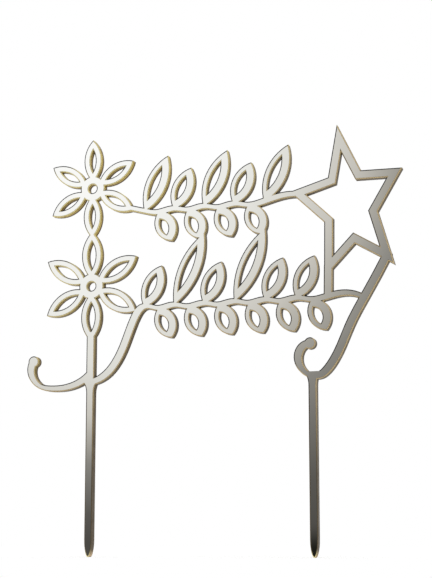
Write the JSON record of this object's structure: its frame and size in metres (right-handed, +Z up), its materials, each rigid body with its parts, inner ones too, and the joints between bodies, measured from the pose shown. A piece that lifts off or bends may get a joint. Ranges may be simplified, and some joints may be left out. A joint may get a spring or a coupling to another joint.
{
  "type": "cake topper",
  "caption": "Flat mirror acrylic cake topper: an open star, two blossoms and two leafy branches, on flat stakes that push into a cake.",
  "frame": {"origin": "midway between the two stakes, at the level of the cake's surface and in the middle of the thickness", "axes": "+X to the viewer's right across the topper, +Y out of its back, +Z up; the mirror front faces -Y and the stakes point along -Z"},
  "size_m": [0.1587, 0.003, 0.1732],
  "materials": {
    "mirror": "mirror",
    "acrylic": "amber laser-cut edges",
    "back_paint": "matte"
  },
  "bodies": {
    "root": {"mirror_film": "mirror", "acrylic_sheet": "acrylic", "back_coat": "back_paint"}
  },
  "joints": []
}
